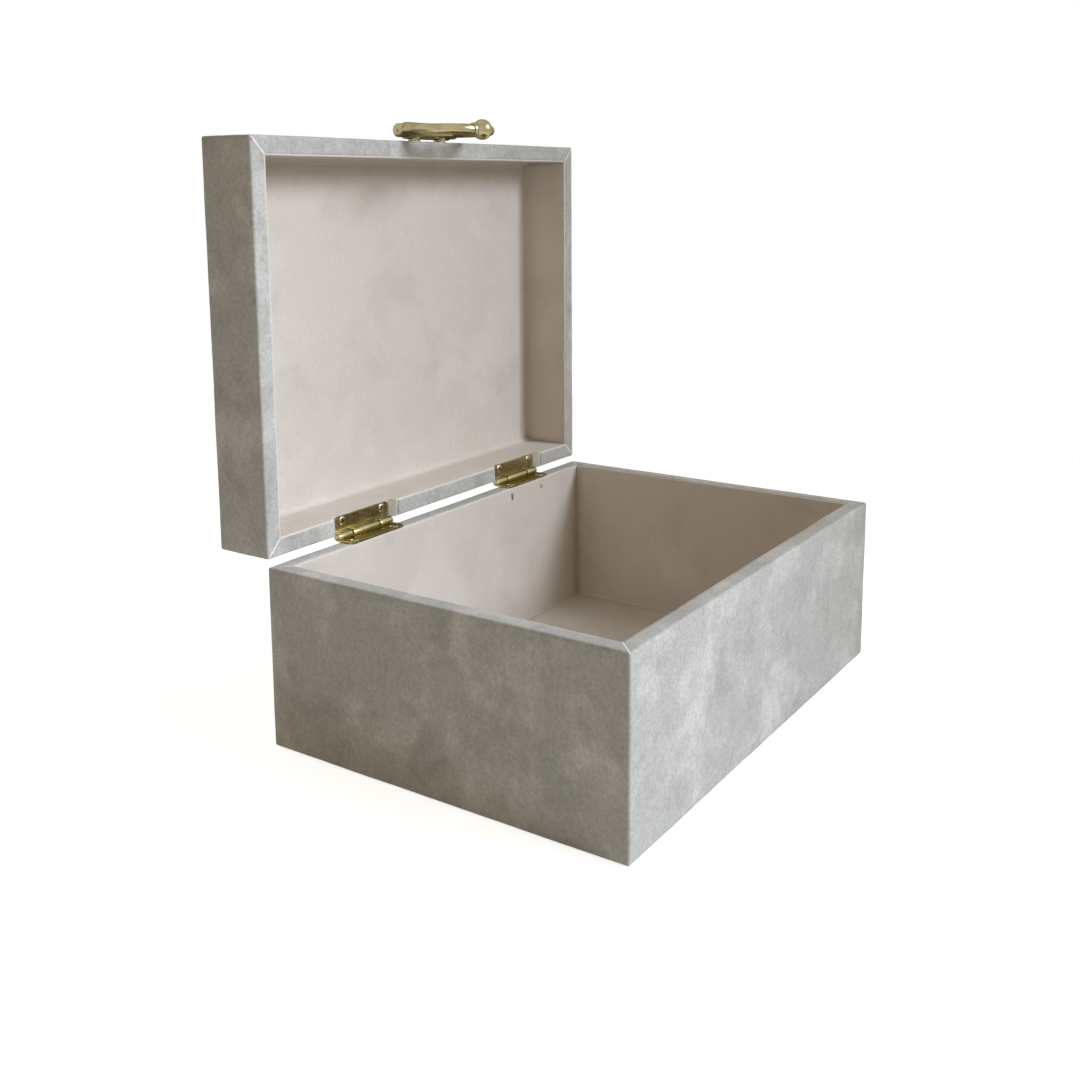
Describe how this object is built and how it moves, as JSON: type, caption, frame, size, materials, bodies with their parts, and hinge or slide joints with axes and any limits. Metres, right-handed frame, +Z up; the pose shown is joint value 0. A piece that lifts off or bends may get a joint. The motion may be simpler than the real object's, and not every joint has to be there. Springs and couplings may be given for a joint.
{
  "type": "storage box",
  "caption": "Rectangular keepsake box covered in grey suede-look sheet, lined inside, with a deep hinged lid standing open and a brass ring pull on the lid's front.",
  "frame": {"origin": "middle of the flat face of the pad under the base", "axes": "+Z up, the box's front faces -Y, the lid stands open on hinges along the back at +Y, +X to the right seen from the front"},
  "size_m": [0.25, 0.2151, 0.2825],
  "materials": {
    "covering": "matte grey suede-look leatherette, cloudy mottling, fine nap",
    "lining": "smooth pinkish-cream suedette",
    "board": "raw pale fibreboard",
    "pad": "dark felt",
    "brass": "polished, slightly olive"
  },
  "bodies": {
    "base": {"base_bottom_board": "board", "base_front_board": "board", "base_right_board": "board", "base_back_board": "board", "base_left_board": "board", "base_covering": "covering", "base_underside_pad": "pad", "base_floor_lining": "lining", "base_front_lining": "lining", "base_right_lining": "lining", "base_back_lining": "lining", "base_left_lining": "lining", "left_hinge_base_leaf": "brass", "right_hinge_base_leaf": "brass", "left_hinge_pin": "brass", "right_hinge_pin": "brass", "base_hinge_screws": "brass"},
    "lid": {"lid_top_board": "board", "lid_front_board": "board", "lid_right_board": "board", "lid_back_board": "board", "lid_left_board": "board", "lid_covering": "covering", "lid_top_lining": "lining", "lid_front_lining": "lining", "lid_right_lining": "lining", "lid_back_lining": "lining", "lid_left_lining": "lining", "left_hinge_lid_leaf": "brass", "right_hinge_lid_leaf": "brass", "lid_hinge_screws": "brass", "handle_mount": "brass", "handle_screws": "brass", "handle_pin": "brass"},
    "pull_ring": {"handle_bail": "brass"}
  },
  "joints": [
    {"name": "lid_hinge", "type": "hinge", "parent": "base", "child": "lid", "pos_m": [0, 0.0937, 0.08605], "axis": [1, 0, 0], "range_deg": [0, 90]},
    {"name": "ring_swing", "type": "hinge", "parent": "lid", "child": "pull_ring", "pos_m": [0, 0.09915, 0.27755], "axis": [-1, 0, 0], "range_deg": [0, 180]}
  ]
}
